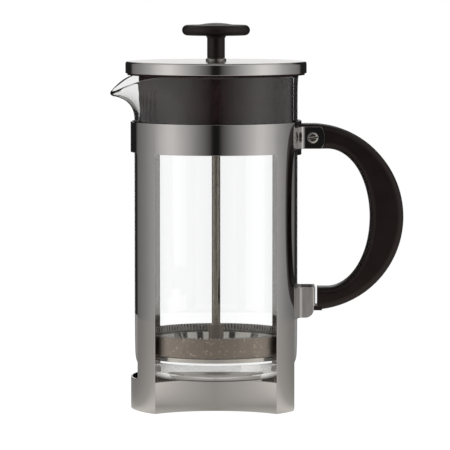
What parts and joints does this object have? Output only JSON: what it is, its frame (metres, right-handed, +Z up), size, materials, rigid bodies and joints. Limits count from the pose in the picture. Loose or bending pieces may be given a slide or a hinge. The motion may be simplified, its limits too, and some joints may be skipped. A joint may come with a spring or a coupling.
{
  "type": "french press",
  "caption": "Glass coffee press in a bent sheet-metal frame, with a D handle, a flat metal lid and a plunger that pushes a mesh filter down the beaker.",
  "frame": {"origin": "on the beaker's axis, at the table under the frame's base", "axes": "+Z up along the plunger rod, +X towards the handle, the spout points to -X, turned a little towards -Y, the side the picture shows"},
  "size_m": [0.1729, 0.107, 0.2276],
  "materials": {
    "polished_sheet": "polished stainless sheet",
    "lid_sheet": "polished stainless sheet",
    "bright_steel": "bright plated steel",
    "rod_steel": "drawn stainless steel",
    "plate_steel": "stamped stainless steel",
    "spring_steel": "drawn spring wire",
    "mesh_steel": "woven fine wire mesh",
    "insert_brass": "turned",
    "handle_plastic": "matt black moulding",
    "knob_plastic": "matt black moulding",
    "liner_plastic": "satin black moulding",
    "clear_glass": "clear borosilicate glass"
  },
  "bodies": {
    "frame": {"frame_shell": "polished_sheet", "lower_bracket": "polished_sheet", "handle": "handle_plastic", "handle_screw": "bright_steel", "handle_nut": "bright_steel"},
    "beaker": {"beaker": "clear_glass"},
    "lid_core": {"lid_ferrule": "bright_steel", "lid_nut": "bright_steel"},
    "lid": {"lid_cover": "lid_sheet", "lid_liner": "liner_plastic"},
    "plunger": {"knob": "knob_plastic", "knob_insert": "insert_brass", "plunger_rod": "rod_steel", "rod_hub": "rod_steel", "spring_plate": "plate_steel", "coil_spring": "spring_steel", "mesh_screen": "mesh_steel", "screen_eyelet": "plate_steel", "cross_plate": "plate_steel", "plate_nut": "plate_steel"}
  },
  "joints": [
    {"name": "beaker_lift", "type": "slide", "parent": "frame", "child": "beaker", "axis": [0, 0, 1], "range_m": [0, 0.16]},
    {"name": "lid_lift", "type": "slide", "parent": "beaker", "child": "lid_core", "axis": [0, 0, 1], "range_m": [0, 0.18]},
    {"name": "lid_turn", "type": "hinge", "parent": "lid_core", "child": "lid", "pos_m": [0, 0, 0.2], "axis": [0, 0, 1], "continuous": true},
    {"name": "plunger_slide", "type": "slide", "parent": "lid_core", "child": "plunger", "axis": [0, 0, 1], "range_m": [0, 0.112]}
  ]
}
